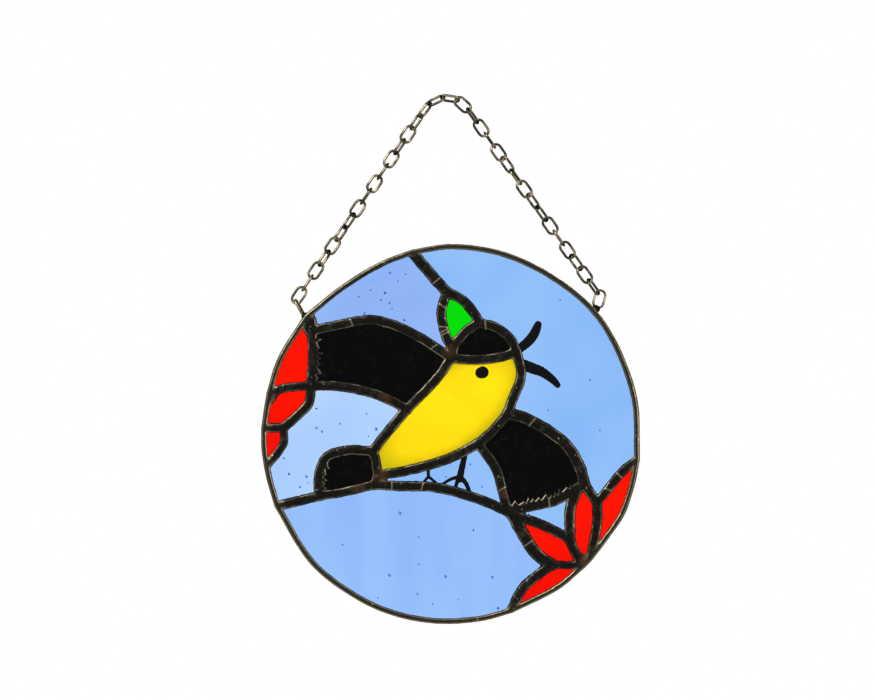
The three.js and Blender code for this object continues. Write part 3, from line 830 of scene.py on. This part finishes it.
# Painted shade standing in for the bubbles' dark look against the light.
painted_bubble_shade = bubble_shade_material("seed_painted_shade")
paint = enamel("black_enamel")


def finish_nodes(names, material):
    for name in names:
        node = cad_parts[name]
        node.data.materials.clear()
        node.data.materials.append(material)


finish_nodes(BLUE, blue_glass)
finish_nodes(("sky_upper_left",), violet_blue_glass)
finish_nodes(("sky_left",), pale_blue_glass)
finish_nodes(("sky_bottom",), streaky_blue_glass)
finish_nodes(RED, red_glass)
finish_nodes(BLACK, opaque_glass)
finish_nodes(("leaf_green",), green_glass)
finish_nodes(("body_yellow",), yellow_glass)

solder_surface("solder_front", -1, 11, solder)
solder_surface("solder_back", 1, 31, solder)
rim_edge(rim_solder_and_highlight)
webs(solder)
for index in range(1, LINK_COUNT + 1):
    wire_oval(f"link_{index:02d}", LINK_LENGTH, LINK_WIDTH, LINK_WIRE, wire, index)
wire_oval("ring_left", RING_LENGTH, RING_WIDTH, RING_WIRE, ring_wire, 50)
wire_oval("ring_right", RING_LENGTH, RING_WIDTH, RING_WIRE, ring_wire, 51)
ring_solder("ring_solder_left", spot(*RING_FEET["left"]), solder, 3)
ring_solder("ring_solder_right", spot(*RING_FEET["right"]), solder, 4)
painted("beak", BEAK, paint)
painted("eye", EYE, paint)
painted("legs", LEGS, paint)
seeds(painted_bubble_shade)


# Studio

FLOOR_RADIUS, FLOOR_HEIGHT = 0.8, -0.45
LOOK_AT = (0, 0, -0.12)
# Each lamp's place, size in metres and power in watts
LAMPS = {"key": ((-0.55, -0.9, 0.45), 0.35, 22), "fill": ((0.7, -0.8, -0.1), 0.3, 8),
         "back": ((0.4, 0.9, 0.35), 0.4, 9)}
CAMERA_DISTANCE = 1.6
PHOTO_SIZE = (875, 700)


def studio():
    world = bpy.data.worlds.new("white_studio")
    bpy.context.scene.world = world
    world.use_nodes = True
    background = world.node_tree.nodes["Background"]
    background.inputs["Color"].default_value = (1, 1, 1, 1)
    background.inputs["Strength"].default_value = 1.0

    sheet = Sheet("pale_floor")
    drift = sheet.noise(0.2, detail=2)
    floor_material = sheet.finish(Base_Color=sheet.mix(drift, (0.58, 0.58, 0.58, 1), (0.62, 0.62, 0.62, 1)),
                                  Roughness=0.8)
    bm = bmesh.new()
    bmesh.ops.create_circle(bm, cap_ends=True, segments=96, radius=FLOOR_RADIUS)
    mesh = bpy.data.meshes.new("floor")
    bm.to_mesh(mesh)
    bm.free()
    mesh.materials.append(floor_material)
    floor = bpy.data.objects.new("floor", mesh)
    floor.location.z = FLOOR_HEIGHT
    bpy.context.scene.collection.objects.link(floor)

    for name, (place_at, size, power) in LAMPS.items():
        data = bpy.data.lights.new(name, "AREA")
        data.size = size
        data.energy = power
        lamp = bpy.data.objects.new(name, data)
        lamp.location = place_at
        aim = Vector(LOOK_AT) - Vector(place_at)
        lamp.rotation_euler = aim.to_track_quat("-Z", "Y").to_euler()
        bpy.context.scene.collection.objects.link(lamp)


def camera():
    """Straight on, with the photograph's middle pixel in the middle of the view."""
    data = bpy.data.cameras.new("camera")
    data.sensor_width = 36
    data.lens = data.sensor_width * CAMERA_DISTANCE / (PHOTO_SIZE[0] * PATTERN_UNIT)
    eye = bpy.data.objects.new("camera", data)
    seen = in_frame([at_pixel(PHOTO_SIZE[0] / 2, PHOTO_SIZE[1] / 2)], -CAMERA_DISTANCE)[0]
    eye.location = seen
    eye.rotation_euler = (math.pi / 2, 0, 0)
    bpy.context.scene.collection.objects.link(eye)
    bpy.context.scene.camera = eye


studio()
camera()
bpy.context.scene.view_settings.view_transform = "Standard"
